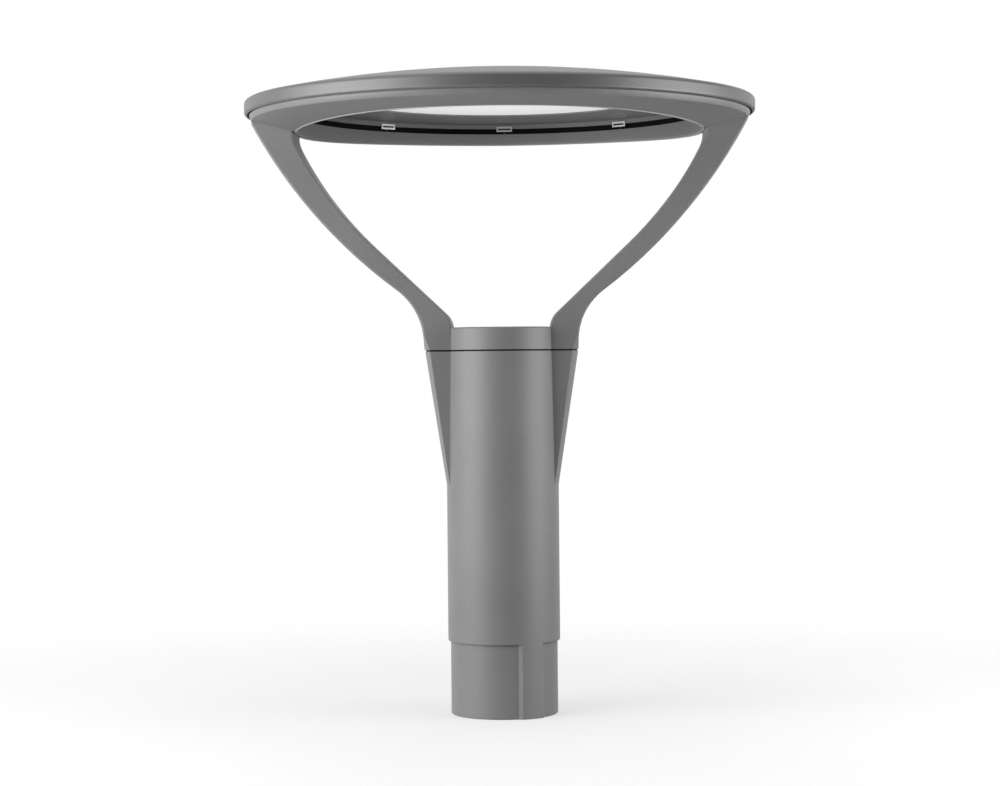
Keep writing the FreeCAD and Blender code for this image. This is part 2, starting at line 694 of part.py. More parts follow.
def roof_cover():
    """Domed roof with a rolled rim, a gasket rib, cooling ribs and screw bosses."""
    tip = ROOF_SPAN / (DOME_R - ROOF_EDGE)
    top = (DOME_R * tip, DOME_Z + DOME_R * math.sqrt(1 - tip ** 2))
    half_tip = math.sin(math.asin(tip) / 2)
    dome_mid = (DOME_R * half_tip, DOME_Z + DOME_R * math.sqrt(1 - half_tip ** 2))
    angle = (math.pi / 2 - math.asin(tip)) / 2
    edge_mid = (ROOF_SPAN + ROOF_EDGE * math.cos(angle), ROOF_EDGE_Z + ROOF_EDGE * math.sin(angle))
    hem_z = RING_Z + ROOF_HEM
    hem_mid = (ROOF_R - ROOF_T * (1 - math.sqrt(0.5)), hem_z + ROOF_T * (1 - math.sqrt(0.5)))
    inner = DOME_R - ROOF_T
    small = ROOF_EDGE - ROOF_T
    in_top = (inner * tip, DOME_Z + inner * math.sqrt(1 - tip ** 2))
    in_mid = (inner * half_tip, DOME_Z + inner * math.sqrt(1 - half_tip ** 2))
    in_edge = (ROOF_SPAN + small * math.cos(angle), ROOF_EDGE_Z + small * math.sin(angle))
    shell = spun((0, ROOF_TOP), (dome_mid, top), (edge_mid, (ROOF_R, ROOF_EDGE_Z)), (ROOF_R, hem_z + ROOF_T),
                 (hem_mid, (ROOF_R - ROOF_T, hem_z)), (ROOF_R - ROOF_T, ROOF_EDGE_Z), (in_edge, in_top),
                 (in_mid, (0, ROOF_TOP - ROOF_T)))
    core = spun((0, 0), (ROOF_R - ROOF_T / 2, 0), (ROOF_R - ROOF_T / 2, ROOF_EDGE_Z), (edge_core(angle), core_top(tip)),
                (core_mid(half_tip), (0, ROOF_TOP - ROOF_T / 2)))
    ribs = [pipe(UPSTAND_R, UPSTAND_R - RING_WALL, UPSTAND_TOP + ROOF_GASKET_T, ROOF_TOP)]
    rib = block(RIB_INNER, SPREADER_R, -RIB_T / 2, RIB_T / 2, SPREADER_TOP, ROOF_TOP)
    ribs += ring_of(rib, RIB_COUNT, 180.0 / RIB_COUNT)
    for a in ear_angles():
        ribs.append(Part.makeCylinder(ROOF_SCREW_D * 1.3, ROOF_TOP - EAR_TOP, at(EAR_R, a, EAR_TOP)))
    for a in board_screw_angles():
        ribs.append(Part.makeCylinder(BOARD_BOSS_R, ROOF_TOP - SPREADER_TOP, at(BOARD_SCREW_R, a, SPREADER_TOP)))
    body = fused(shell, [r.common(core) for r in ribs])
    drills = []
    for a in ear_angles():
        drills.append(Part.makeCylinder(ROOF_SCREW_D / 2, ROOF_SCREW_L - EAR_T, at(EAR_R, a, EAR_TOP)))
    for a in board_screw_angles():
        drills.append(Part.makeCylinder(BOARD_SCREW_D / 2, BOARD_SCREW_BITE + 0.5, at(BOARD_SCREW_R, a, SPREADER_TOP)))
    return body.cut(drills)


def edge_core(angle):
    """Middle of the rim's rounding, half way through the roof's thickness."""
    r = ROOF_EDGE - ROOF_T / 2
    return (ROOF_SPAN + r * math.cos(angle), ROOF_EDGE_Z + r * math.sin(angle))


def core_top(tip):
    """Upper end of the rim's rounding, half way through the roof's thickness."""
    r = DOME_R - ROOF_T / 2
    return (r * tip, DOME_Z + r * math.sqrt(1 - tip ** 2))


def core_mid(half_tip):
    """Middle of the dome's arc, half way through the roof's thickness."""
    r = DOME_R - ROOF_T / 2
    return (r * half_tip, DOME_Z + r * math.sqrt(1 - half_tip ** 2))


def board_screw_angles():
    """Directions of the screws through the light board."""
    return [360.0 * i / BOARD_SCREW_COUNT for i in range(BOARD_SCREW_COUNT)]


def roof_gasket():
    """Gasket between the ring's upstand and the roof's rib."""
    return pipe(UPSTAND_R, UPSTAND_R - RING_WALL, UPSTAND_TOP, UPSTAND_TOP + ROOF_GASKET_T)


def roof_screws():
    """Countersunk screws up through the ears into the roof."""
    screw = sunk_screw(ROOF_SCREW_D, ROOF_SCREW_L - 0.5)
    return [aimed(screw, at(EAR_R, a, EAR_Z), V(0, 0, -1)) for a in ear_angles()]


def panel_frame():
    """Turned frame of the light panel: ledge, sloping face, slit, rim and outer flange."""
    t = FRAME_SHEET
    slit_r = FRAME_RIM_R + FRAME_SLIT_DEPTH
    return spun((PANEL_R, PANEL_Z), (PANEL_R + FRAME_LEDGE, PANEL_Z), (FACE_R, RIM_Z), (slit_r, RIM_Z),
                (slit_r, RIM_TOP), (FRAME_RIM_R, RIM_TOP), (FRAME_RIM_R, FRAME_Z), (FRAME_R, FRAME_Z),
                (FRAME_R, FRAME_Z + t), (slit_r + t, FRAME_Z + t), (slit_r + t, FRAME_TOP), (FACE_R, FRAME_TOP),
                (PANEL_R + FRAME_LEDGE, PANEL_Z + t), (PANEL_R, PANEL_Z + t))


def panel_gasket():
    """Black gasket between the ring's inner flange and the panel's frame."""
    return pipe(FRAME_R - 0.6, LIP_R + LIP_DRAFT + 2.4, LIP_TOP, FRAME_Z)


def diffuser():
    """Opal panel resting on the frame's ledge."""
    return cyl(PANEL_R + PANEL_SEAT, PANEL_Z + FRAME_SHEET, PANEL_TOP)


def panel_clips():
    """Sprung clips that hold the panel's frame, each a slotted strip on a narrow foot."""
    half = CLIP_W / 2
    foot_half = CLIP_FOOT_W / 2
    low = FRAME_Z - CLIP_DROP
    high = low + CLIP_H
    face = math.sqrt(FRAME_RIM_R ** 2 - half ** 2) - CLIP_CLEAR
    strip = block(face - CLIP_T, face, -half, half, low, high)
    slot = block(face - 2 * CLIP_T, face + CLIP_T, CLIP_END - half, half - CLIP_END, low + CLIP_BAR, high - CLIP_BAR)
    foot_x = LIP_R + LIP_DRAFT + CLIP_T
    folds = [block(face - CLIP_T, foot_x + CLIP_T, -foot_half, foot_half, low, low + CLIP_T)]
    folds.append(block(foot_x, foot_x + CLIP_T, -foot_half, foot_half, LIP_TOP, low + CLIP_T))
    clip = fused(strip.cut(slot), folds)
    first = 90 - CLIP_PITCH * (CLIP_SIDE_COUNT - 1) / 2
    side = [turned(clip, first + CLIP_PITCH * i) for i in range(CLIP_SIDE_COUNT)]
    return side + [turned(c, 180) for c in side]


def board_screw_holes():
    """Clearance holes for the screws through board and spreader."""
    depth = SPREADER_TOP - BOARD_Z + 2
    return [Part.makeCylinder(BOARD_SCREW_HOLE / 2, depth, at(BOARD_SCREW_R, a, BOARD_Z - 1)) for a in board_screw_angles()]


def heat_spreader():
    """Disc that carries the light board against the roof's ribs."""
    disc = cyl(SPREADER_R, SPREADER_Z, SPREADER_TOP)
    return disc.cut(board_screw_holes())


def light_board():
    """Round circuit board."""
    disc = cyl(BOARD_R, BOARD_Z, SPREADER_Z)
    return disc.cut(board_screw_holes())


def chips():
    """Light sources on the board, in rings."""
    one = block(-CHIP / 2, CHIP / 2, -CHIP / 2, CHIP / 2, BOARD_Z - CHIP_T, BOARD_Z)
    solids = [one]
    for i in range(1, CHIP_RING_COUNT + 1):
        moved = one.copy()
        moved.translate(V(CHIP_RING_PITCH * i, 0, 0))
        solids += ring_of(moved, CHIP_STEP_COUNT * i, 180.0 / (CHIP_STEP_COUNT * i))
    return solids


def board_screws():
    """Pan head screws through board and spreader."""
    screw = pan_screw(BOARD_SCREW_D, BOARD_T + SPREADER_T + BOARD_SCREW_BITE)
    return [aimed(screw, at(BOARD_SCREW_R, a, BOARD_Z), V(0, 0, -1)) for a in board_screw_angles()]


def reflector_skirt():
    """White sheet cone from the spreader down to the diffuser."""
    t = SKIRT_T
    top_in = BOARD_R + 2.0
    top_out = SPREADER_R - 0.5
    low_in = PANEL_R - 3.0
    cone = spun((top_in, SPREADER_Z - t), (top_out - t, SPREADER_Z - t), (low_in, PANEL_TOP),
                (PANEL_R + PANEL_SEAT - 1, PANEL_TOP), (PANEL_R + PANEL_SEAT - 1, PANEL_TOP + t),
                (low_in + t, PANEL_TOP + t), (top_out, SPREADER_Z), (top_in, SPREADER_Z))
    half = WIRE_PITCH / 2 + WIRE_D
    return cone.cut(block(top_out - 4, PANEL_R, -half, half, PANEL_TOP + t, SPREADER_Z - t))


def connector_block():
    """Low push-in connector on the panel's frame, between the lead and the board's wires."""
    x0 = block_start()
    low = block_base()
    body = block(x0, x0 + BLOCK_L, -BLOCK_W / 2, BLOCK_W / 2, low, low + BLOCK_H)
    ports = []
    for y in (-WIRE_PITCH, 0, WIRE_PITCH):
        ports.append(Part.makeCylinder(BLOCK_PORT_D / 2, BLOCK_H / 2, V(x0 + BLOCK_L / 2, y, low + BLOCK_H / 2)))
    return body.cut(ports)


def board_wires():
    """Two wires from the connector, through the skirt, to the board's edge."""
    x0 = block_start()
    z0 = PANEL_TOP + SKIRT_T + WIRE_D / 2 + WIRE_CLEAR
    z1 = BOARD_Z - WIRE_D / 2
    wires = []
    for y in (-WIRE_PITCH / 2, WIRE_PITCH / 2):
        points = [V(x0, y, z0), V(SPREADER_R + 16, y, z0), V(SPREADER_R - 2, y, z1), V(BOARD_R - 12, y, z1)]
        wires.append(drawn(points, WIRE_D / 2))
    return wires


def lead():
    """Lead from the driver to the connector block."""
    return drawn(lead_points(), LEAD_D / 2)


def grommet():
    """Rubber grommet where the lead leaves the arm."""
    z = grommet_z()
    flange = cyl(GROMMET_R - 0.2, z, z + GROMMET_T, LEAD_RISE_X)
    neck = cyl(LEAD_WAY_D / 2 - 0.1, z - GROMMET_NECK, z + 1, LEAD_RISE_X)
    return fused(flange, [neck]).cut(cyl(LEAD_D / 2, z - 2 * GROMMET_NECK, z + 10, LEAD_RISE_X))


def gear_tray():
    """Bent sheet tray for the control gear."""
    half = TRAY_W / 2
    back = TRAY_Y + TRAY_T
    plate = block(-half, half, TRAY_Y, back, TRAY_Z, TRAY_TOP)
    sides = [block(-half, -half + TRAY_T, TRAY_Y, TRAY_Y + TRAY_FLANGE, TRAY_Z, TRAY_TOP),
             block(half - TRAY_T, half, TRAY_Y, TRAY_Y + TRAY_FLANGE, TRAY_Z, TRAY_TOP)]
    tray = fused(plate, sides)
    drill = Part.makeCylinder(TRAY_SCREW_D / 2 + 0.2, 3 * TRAY_T)
    holes = [aimed(drill, V(0, TRAY_Y - TRAY_T, z), V(0, 1, 0)) for z in tray_screw_heights()]
    thin = Part.makeCylinder(2.0, 3 * TRAY_T)
    holes += [aimed(thin, V(0, TRAY_Y - TRAY_T, z), V(0, 1, 0)) for z in driver_screw_heights()]
    return tray.cut(holes)


def driver_screw_heights():
    """Heights of the screws through the driver's feet."""
    return [DRIVER_Z - DRIVER_FOOT / 2, DRIVER_TOP + DRIVER_FOOT / 2]


def tray_screws():
    """Screws that hold the tray to the sleeve's bosses."""
    screw = pan_screw(TRAY_SCREW_D, TRAY_T + TRAY_SCREW_D * 2.6)
    return [aimed(screw, V(0, TRAY_Y, z), V(0, -1, 0)) for z in tray_screw_heights()]


def led_driver():
    """Driver case with two feet and two cable glands."""
    half = DRIVER_W / 2
    case = block(-half, half, TRAY_Y - DRIVER_D, TRAY_Y, DRIVER_Z, DRIVER_TOP)
    edges = [e for e in case.Edges if e.BoundBox.ZLength > DRIVER_H / 2 and e.CenterOfMass.y < 0]
    case = case.makeFillet(DRIVER_ROUND, edges)
    foot = block(-half, half, TRAY_Y - DRIVER_FOOT_T, TRAY_Y, DRIVER_Z - DRIVER_FOOT, DRIVER_TOP + DRIVER_FOOT)
    glands = [cyl(GLAND_R, DRIVER_TOP - 1, DRIVER_TOP + GLAND_H, LEAD_X)]
    glands.append(cyl(GLAND_R, DRIVER_Z - GLAND_H, DRIVER_Z + 1, -LEAD_X))
    ribs = [block(-half + 8 + 9 * i, -half + 11 + 9 * i, TRAY_Y - DRIVER_D - 1.2, TRAY_Y - DRIVER_D + 1,
                  DRIVER_Z + 12, DRIVER_TOP - 12) for i in range(5)]
    case = fused(case, [foot] + glands + ribs)
    drill = Part.makeCylinder(2.2, 3 * TRAY_T)
    return case.cut([aimed(drill, V(0, TRAY_Y - 2 * TRAY_T, z), V(0, 1, 0)) for z in driver_screw_heights()])


def driver_screws():
    """Screws through the driver's feet into the tray."""
    screw = pan_screw(4.0, DRIVER_FOOT_T + TRAY_T)
    return [aimed(screw, V(0, TRAY_Y - DRIVER_FOOT_T, z), V(0, -1, 0)) for z in driver_screw_heights()]


def terminal_block():
    """Three-way mains terminal block on the tray."""
    x0 = GEAR_GAP
    z0 = TRAY_Z + GEAR_LIFT
    body = block(x0, x0 + TERMINAL_W, TRAY_Y - TERMINAL_D, TRAY_Y, z0, z0 + TERMINAL_H)
    pitch = TERMINAL_W / 3
    wells = []
    for i in range(3):
        x = x0 + pitch * (i + 0.5)
        hole = Part.makeCylinder(pitch * 0.28, TERMINAL_D * 0.6)
        wells.append(aimed(hole, V(x, TRAY_Y - TERMINAL_D, z0 + TERMINAL_H * 0.7), V(0, 1, 0)))
        wells.append(Part.makeCylinder(pitch * 0.3, TERMINAL_H * 0.3, V(x, TRAY_Y - TERMINAL_D * 0.5, z0)))
    return body.cut(wells)


def surge_protector():
    """Surge protector on the tray, beside the terminal block."""
    x1 = -GEAR_GAP
    z0 = TRAY_Z + GEAR_LIFT
    body = block(x1 - SURGE_W, x1, TRAY_Y - SURGE_D, TRAY_Y, z0, z0 + SURGE_H)
    edges = [e for e in body.Edges if e.CenterOfMass.y < TRAY_Y - SURGE_D + 0.1]
    return body.makeFillet(2.0, edges)


def earth_stud():
    """Earth stud with its nut at the top of the tray."""
    x = TRAY_W / 2 - STUD_IN
    z = TRAY_TOP - STUD_IN
    bar = aimed(Part.makeCylinder(STUD_D / 2, STUD_L), V(x, TRAY_Y, z), V(0, -1, 0))
    nut = aimed(hexagon(STUD_D * 0.92, 0, STUD_D * 0.8), V(x, TRAY_Y, z), V(0, -1, 0))
    return fused(bar, [nut])


PIECES = {
    "gear_sleeve": gear_sleeve, "post_grubs": post_grubs, "collar_gasket": collar_gasket, "arm_frame": arm_frame,
    "collar_bolts": collar_bolts, "roof_cover": roof_cover, "roof_gasket": roof_gasket, "roof_screws": roof_screws,
    "panel_frame": panel_frame, "panel_gasket": panel_gasket, "diffuser": diffuser, "panel_clips": panel_clips,
    "heat_spreader": heat_spreader, "light_board": light_board, "chips": chips, "board_screws": board_screws,
    "reflector_skirt": reflector_skirt, "connector_block": connector_block, "board_wires": board_wires, "lead": lead,
    "grommet": grommet, "gear_tray": gear_tray, "tray_screws": tray_screws, "led_driver": led_driver,
    "driver_screws": driver_screws, "terminal_block": terminal_block, "surge_protector": surge_protector,
    "earth_stud": earth_stud,
}

os.makedirs("parts", exist_ok=True)
for node, make in PIECES.items():
    made = make()
    shape = Part.makeCompound(made) if isinstance(made, list) else made
    shape.exportStep("parts/" + node + ".step")
    print(node, len(shape.Solids), round(shape.Volume / 1000, 1), shape.isValid())
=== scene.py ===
"""Looks of an LED post top light: finishes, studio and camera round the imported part, in metres."""

import logging
import math
from dataclasses import dataclass, field
from enum import Enum
from typing import Any

import bmesh
import bpy
from mathutils import Matrix, Vector


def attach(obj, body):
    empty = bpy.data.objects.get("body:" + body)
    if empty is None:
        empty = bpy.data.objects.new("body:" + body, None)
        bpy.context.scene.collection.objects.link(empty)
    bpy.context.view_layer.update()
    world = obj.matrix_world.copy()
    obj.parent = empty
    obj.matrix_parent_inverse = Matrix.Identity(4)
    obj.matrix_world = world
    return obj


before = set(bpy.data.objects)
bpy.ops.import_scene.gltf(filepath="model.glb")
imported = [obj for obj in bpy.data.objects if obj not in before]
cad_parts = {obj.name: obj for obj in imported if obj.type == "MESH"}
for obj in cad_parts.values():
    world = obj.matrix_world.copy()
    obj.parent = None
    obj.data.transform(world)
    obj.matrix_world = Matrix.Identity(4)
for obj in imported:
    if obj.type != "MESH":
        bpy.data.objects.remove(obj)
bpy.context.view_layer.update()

log = logging.getLogger("post_top_light")
Colour = tuple[float, float, float, float]
# Mean of a noise or cell value.
MIDDLE = 0.5
NOISE_ROUGHNESS = 0.55
UNSTRETCHED = (1.0, 1.0, 1.0)
# Strength at which a background shows as white.
WHITE_LEVEL = 1.0


def tone(red: float, green: float, blue: float) -> Colour:
    """Scene-linear colour of a screen colour.

    Args:
        red: screen red, 0 to 255.
        green: screen green, 0 to 255.
        blue: screen blue, 0 to 255.

    Returns:
        The opaque colour that renders as these values in plain light.
    """
    shares = [value / 255 for value in (red, green, blue)]
    linear = [s / 12.92 if s <= 0.04045 else ((s + 0.055) / 1.055) ** 2.4 for s in shares]
    return (linear[0], linear[1], linear[2], 1.0)


def shaded(colour: Colour, factor: float) -> Colour:
    """Colour made lighter or darker by a factor.

    Args:
        colour: scene-linear colour.
        factor: below 1 darkens and above 1 lightens.

    Returns:
        The changed colour, opaque.
    """
    red, green, blue = (min(1.0, part * factor) for part in colour[:3])
    return (red, green, blue, 1.0)


class Signal:
    """A shader socket that takes part in Python sums."""

    def __init__(self, graph: "Graph", socket: bpy.types.NodeSocket | None) -> None:
        """Keeps the socket with the graph that it belongs to."""
        self.graph = graph
        self.socket = socket

    def _math(self, operation: str, first: Any, second: Any) -> "Signal":
        """Adds one Math node.

        Args:
            operation: the Math node's operation.
            first: left value or signal.
            second: right value or signal.

        Returns:
            The node's result.
        """
        return self.graph.add("ShaderNodeMath", {"operation": operation}, {0: first, 1: second})

    def __add__(self, other: Any) -> "Signal":
        """This signal plus another."""
        return self._math("ADD", self, other)

    def __radd__(self, other: Any) -> "Signal":
        """A number plus this signal."""
        return self._math("ADD", other, self)

    def __sub__(self, other: Any) -> "Signal":
        """This signal less another."""
        return self._math("SUBTRACT", self, other)

    def __rsub__(self, other: Any) -> "Signal":
        """A number less this signal."""
        return self._math("SUBTRACT", other, self)

    def __mul__(self, other: Any) -> "Signal":
        """This signal times another."""
        return self._math("MULTIPLY", self, other)

    def __rmul__(self, other: Any) -> "Signal":
        """A number times this signal."""
        return self._math("MULTIPLY", other, self)

    def at_least(self, other: Any) -> "Signal":
        """The greater of this signal and another."""
        return self._math("MAXIMUM", self, other)


class Graph:
    """A node tree with one way to add a node and the few patterns that the finishes share."""

    # A Mix node's sockets for colours.
    MIX_SHARE, MIX_LOW, MIX_HIGH, MIX_COLOUR = 0, 6, 7, 2

    def __init__(self, tree: bpy.types.NodeTree) -> None:
        """Takes over a tree and empties it."""
        self.tree = tree
        tree.nodes.clear()

    def add(
        self,
        kind: str,
        settings: dict[str, Any] | None = None,
        inputs: dict[int | str, Any] | None = None,
        output: int | str = 0,
    ) -> Signal:
        """Adds a node.

        Args:
            kind: the node's type name.
            settings: the node's own settings, set first.
            inputs: values or signals for its sockets.
            output: the output socket to hand back.

        Returns:
            The chosen output, without a socket for a closing node.
        """
        node = self.tree.nodes.new(kind)
        for name, value in (settings or {}).items():
            setattr(node, name, value)
        for key, value in (inputs or {}).items():
            if isinstance(value, Signal):
                self.tree.links.new(value.socket, node.inputs[key])
            else:
                node.inputs[key].default_value = value
        return Signal(self, node.outputs[output] if node.outputs else None)

    def place(self, stretch: tuple[float, float, float] = UNSTRETCHED) -> Signal:
        """Object coordinates, stretched for brushed and drawn finishes.

        Args:
            stretch: factor on each axis.

        Returns:
            The coordinates.
        """
        raw = self.add("ShaderNodeTexCoord", output="Object")
        if stretch == UNSTRETCHED:
            return raw
        settings = {"vector_type": "POINT"}
        return self.add("ShaderNodeMapping", settings, {"Vector": raw, "Scale": stretch})

    def noise(self, place: Signal, size: float, detail: float = 2.0) -> Signal:
        """Cloudy noise about the middle value.

        Args:
            place: coordinates.
            size: size of a cloud in metres.
            detail: number of finer layers.

        Returns:
            The noise value.
        """
        inputs = {"Vector": place, "Scale": 1 / size, "Detail": detail, "Roughness": NOISE_ROUGHNESS}
        return self.add("ShaderNodeTexNoise", None, inputs)

    def cells(self, place: Signal, size: float) -> Signal:
        """Random value per small cell, for flake and grit.

        Args:
            place: coordinates.
            size: size of a cell in metres.

        Returns:
            A value from 0 to 1 that is constant in each cell.
        """
        inputs = {"Vector": place, "Scale": 1 / size}
        random = self.add("ShaderNodeTexVoronoi", None, inputs, "Color")
        return self.add("ShaderNodeSeparateColor", None, {"Color": random})

    def blend(self, low: Colour | Signal, high: Colour | Signal, share: Signal) -> Signal:
        """Mixes two colours.

        Args:
            low: colour where the share is 0.
            high: colour where the share is 1.
            share: the mixing value.

        Returns:
            The mixed colour.
        """
        settings = {"data_type": "RGBA", "clamp_factor": True}
        inputs = {self.MIX_SHARE: share, self.MIX_LOW: low, self.MIX_HIGH: high}
        return self.add("ShaderNodeMix", settings, inputs, self.MIX_COLOUR)

    def step(self, value: Signal, start: float, end: float) -> Signal:
        """Smooth rise from 0 to 1.

        Args:
            value: the signal to follow.
            start: where the rise starts.
            end: where it ends.

        Returns:
            The smooth step.
        """
        settings = {"interpolation_type": "SMOOTHSTEP"}
        inputs = {"Value": value, "From Min": start, "From Max": end}
        return self.add("ShaderNodeMapRange", settings, inputs)

    def radius(self, place: Signal) -> Signal:
        """Distance from the upright axis.

        Args:
            place: coordinates.

        Returns:
            The distance in metres.
        """
        flat = self.add(
            "ShaderNodeVectorMath", {"operation": "MULTIPLY"}, {0: place, 1: (1.0, 1.0, 0.0)}
        )
        return self.add("ShaderNodeVectorMath", {"operation": "LENGTH"}, {0: flat}, "Value")

    def relief(self, height: Signal, depth: float, strength: float) -> Signal:
        """Bumped normal.

        Args:
            height: height from 0 to 1.
            depth: height of a full step in metres.
            strength: share of the bump that shows.

        Returns:
            The normal.
        """
        inputs = {"Height": height, "Distance": depth, "Strength": strength}
        return self.add("ShaderNodeBump", None, inputs)


def surface(name: str) -> tuple[bpy.types.Material, Graph]:
    """New empty material.

    Args:
        name: the material's name.

    Returns:
        The material and its graph.
    """
    made = bpy.data.materials.new(name)
    made.use_nodes = True
    return made, Graph(made.node_tree)


def close(graph: Graph, inputs: dict[int | str, Any]) -> None:
    """Ends a graph with the usual surface shader.

    Args:
        graph: the material's graph.
        inputs: values and signals for the shader's sockets.
    """
    shader = graph.add("ShaderNodeBsdfPrincipled", None, inputs)
    graph.add("ShaderNodeOutputMaterial", None, {"Surface": shader})


@dataclass(frozen=True)
class PowderCoat:
    """Satin grey powder coat with fine metal flake and a faint orange peel."""

    name: str
    colour: Colour
    roughness: float
    metallic: float
    peel_size: float = 0.0016
    peel_depth: float = 0.00006
    peel_detail: float = 3.0
    peel_strength: float = 0.5
    peel_rough: float = 0.12
    flake_size: float = 0.0004
    flake_share: float = 0.10
    flake_weight: float = 0.6
    cloud_size: float = 0.09
    cloud_share: float = 0.05
    cloud_weight: float = 0.9
    cloud_rough: float = 0.08

    def material(self) -> bpy.types.Material:
        """Builds the coat's material.

        Returns:
            The material.
        """
        made, graph = surface(self.name)
        place = graph.place()
        cloud = graph.noise(place, self.cloud_size)
        flake = graph.cells(place, self.flake_size)
        peel = graph.noise(place, self.peel_size, self.peel_detail)
        share = MIDDLE + (cloud - MIDDLE) * self.cloud_weight + (flake - MIDDLE) * self.flake_weight
        spread = self.flake_share + self.cloud_share
        colour = graph.blend(shaded(self.colour, 1 - spread), shaded(self.colour, 1 + spread), share)
        rough = self.roughness + (peel - MIDDLE) * self.peel_rough + (cloud - MIDDLE) * self.cloud_rough
        normal = graph.relief(peel, self.peel_depth, self.peel_strength)
        close(graph, {
            "Base Color": colour,
            "Roughness": rough,
            "Metallic": self.metallic,
            "Normal": normal,
        })
        return made


@dataclass(frozen=True)
class Rubber:
    """Moulded rubber with a dull, slightly grainy skin."""

    name: str
    colour: Colour
    roughness: float
    gloss: float = 0.14
    bloom_size: float = 0.03
    bloom_share: float = 0.7
    grain_size: float = 0.0007
    grain_depth: float = 0.00005
    grain_detail: float = 3.0
    grain_strength: float = 0.6
    grain_rough: float = 0.2
    darkest: float = 0.6
    palest: float = 1.6

    def material(self) -> bpy.types.Material:
        """Builds the rubber's material.

        Returns:
            The material.
        """
        made, graph = surface(self.name)
        place = graph.place()
        bloom = graph.noise(place, self.bloom_size)
        grain = graph.noise(place, self.grain_size, self.grain_detail)
        share = bloom * self.bloom_share + grain * (1 - self.bloom_share)
        colour = graph.blend(shaded(self.colour, self.darkest), shaded(self.colour, self.palest), share)
        rough = self.roughness + (grain - MIDDLE) * self.grain_rough
        close(graph, {
            "Base Color": colour,
            "Roughness": rough,
            "Specular IOR Level": self.gloss,
            "Normal": graph.relief(grain, self.grain_depth, self.grain_strength),
        })
        return made


@dataclass(frozen=True)
class BareMetal:
    """Bare metal with drawn or brushed lines along one axis, with painted shade below a height where one
    is given.
    """

    name: str
    colour: Colour
    roughness: float
    stretch: tuple[float, float, float]
    line_size: float = 0.0006
    line_depth: float = 0.00003
    line_detail: float = 3.0
    line_strength: float = 0.4
    line_share: float = 0.6
    line_rough: float = 0.16
    stain_size: float = 0.02
    stain_rough: float = 0.1
    darkest: float = 0.82
    palest: float = 1.15
    painted_shade_below: float | None = None
    painted_shade_edge: float = 0.0004
    painted_shade_factor: float = 0.06

    def material(self) -> bpy.types.Material:
        """Builds the metal's material.

        Returns:
            The material.
        """
        made, graph = surface(self.name)
        lines = graph.noise(graph.place(self.stretch), self.line_size, self.line_detail)
        stain = graph.noise(graph.place(), self.stain_size)
        share = lines * self.line_share + stain * (1 - self.line_share)
        colour = graph.blend(shaded(self.colour, self.darkest), shaded(self.colour, self.palest), share)
        # Painted shade: the colour is darkened below the given height, where the foot sits in shade.
        if self.painted_shade_below is not None:
            height = graph.add("ShaderNodeSeparateXYZ", None, {0: graph.place()}, "Z")
            painted_shade = graph.step(self.painted_shade_below - height, -self.painted_shade_edge, 0.0)
            colour = graph.blend(colour, shaded(self.colour, self.painted_shade_factor), painted_shade)
        rough = self.roughness + (lines - MIDDLE) * self.line_rough + (stain - MIDDLE) * self.stain_rough
        close(graph, {
            "Base Color": colour,
            "Roughness": rough,
            "Metallic": 1.0,
            "Normal": graph.relief(lines, self.line_depth, self.line_strength),
        })
        return made


@dataclass(frozen=True)
class Opal:
    """Opal light panel: white, fine grained, with a painted glow that is brighter in the middle and fades
    towards the rim.
    """

    name: str
    colour: Colour
    roughness: float
    painted_glow: float
    painted_glow_radius: float = 0.150
    painted_glow_middle: Colour = tone(255, 255, 255)
    painted_glow_edge: Colour = tone(228, 228, 228)
    edge_start: float = 0.6
    edge_end: float = 1.02
    edge_share: float = 0.7
    cloud_painted_glow: float = 0.2
    cloud_size: float = 0.06
    cloud_share: float = 0.5
    cloud_spread: float = 0.04
    grain_size: float = 0.0012
    grain_depth: float = 0.00008
    grain_strength: float = 0.4
    grain_rough: float = 0.1

    def material(self) -> bpy.types.Material:
        """Builds the panel's material.

        Returns:
            The material.
        """
        made, graph = surface(self.name)
        place = graph.place()
        grain = graph.noise(place, self.grain_size)
        cloud = graph.noise(place, self.cloud_size)
        share = grain * (1 - self.cloud_share) + cloud * self.cloud_share
        dark = shaded(self.colour, 1 - self.cloud_spread)
        pale = shaded(self.colour, 1 + self.cloud_spread)
        colour = graph.blend(dark, pale, share)
        # Painted glow: emission lighting the panel from within, dimmer towards the rim and in clouds.
        start, end = self.edge_start * self.painted_glow_radius, self.edge_end * self.painted_glow_radius
        rim = graph.step(graph.radius(place), start, end)
        painted_glow_falloff = rim * self.edge_share + cloud * self.cloud_painted_glow
        light = graph.blend(self.painted_glow_middle, self.painted_glow_edge, painted_glow_falloff)
        close(graph, {
            "Base Color": colour,
            "Roughness": self.roughness + (grain - MIDDLE) * self.grain_rough,
            "Emission Color": light,
            "Emission Strength": self.painted_glow,
            "Normal": graph.relief(grain, self.grain_depth, self.grain_strength),
        })
        return made


@dataclass(frozen=True)
class Moulding:
    """Moulded plastic or lacquered sheet with a spark-eroded grain."""

    name: str
    colour: Colour
    roughness: float
    grain_size: float = 0.0005
    grain_depth: float = 0.00003
    grain_strength: float = 0.5
    grain_rough: float = 0.08
    cloud_size: float = 0.02
    cloud_share: float = 0.6
    cloud_rough: float = 0.1
    speckle: float = 0.06

    def material(self) -> bpy.types.Material:
        """Builds the plastic's material.

        Returns:
            The material.
        """
        made, graph = surface(self.name)
        place = graph.place()
        grain = graph.cells(place, self.grain_size)
        cloud = graph.noise(place, self.cloud_size)
        share = grain * (1 - self.cloud_share) + cloud * self.cloud_share
        dark = shaded(self.colour, 1 - self.speckle)
        pale = shaded(self.colour, 1 + self.speckle)
        colour = graph.blend(dark, pale, share)
        rough = self.roughness + (grain - MIDDLE) * self.grain_rough + (cloud - MIDDLE) * self.cloud_rough
        relief = graph.noise(place, self.grain_size)
        close(graph, {
            "Base Color": colour,
            "Roughness": rough,
            "Normal": graph.relief(relief, self.grain_depth, self.grain_strength),
        })
        return made


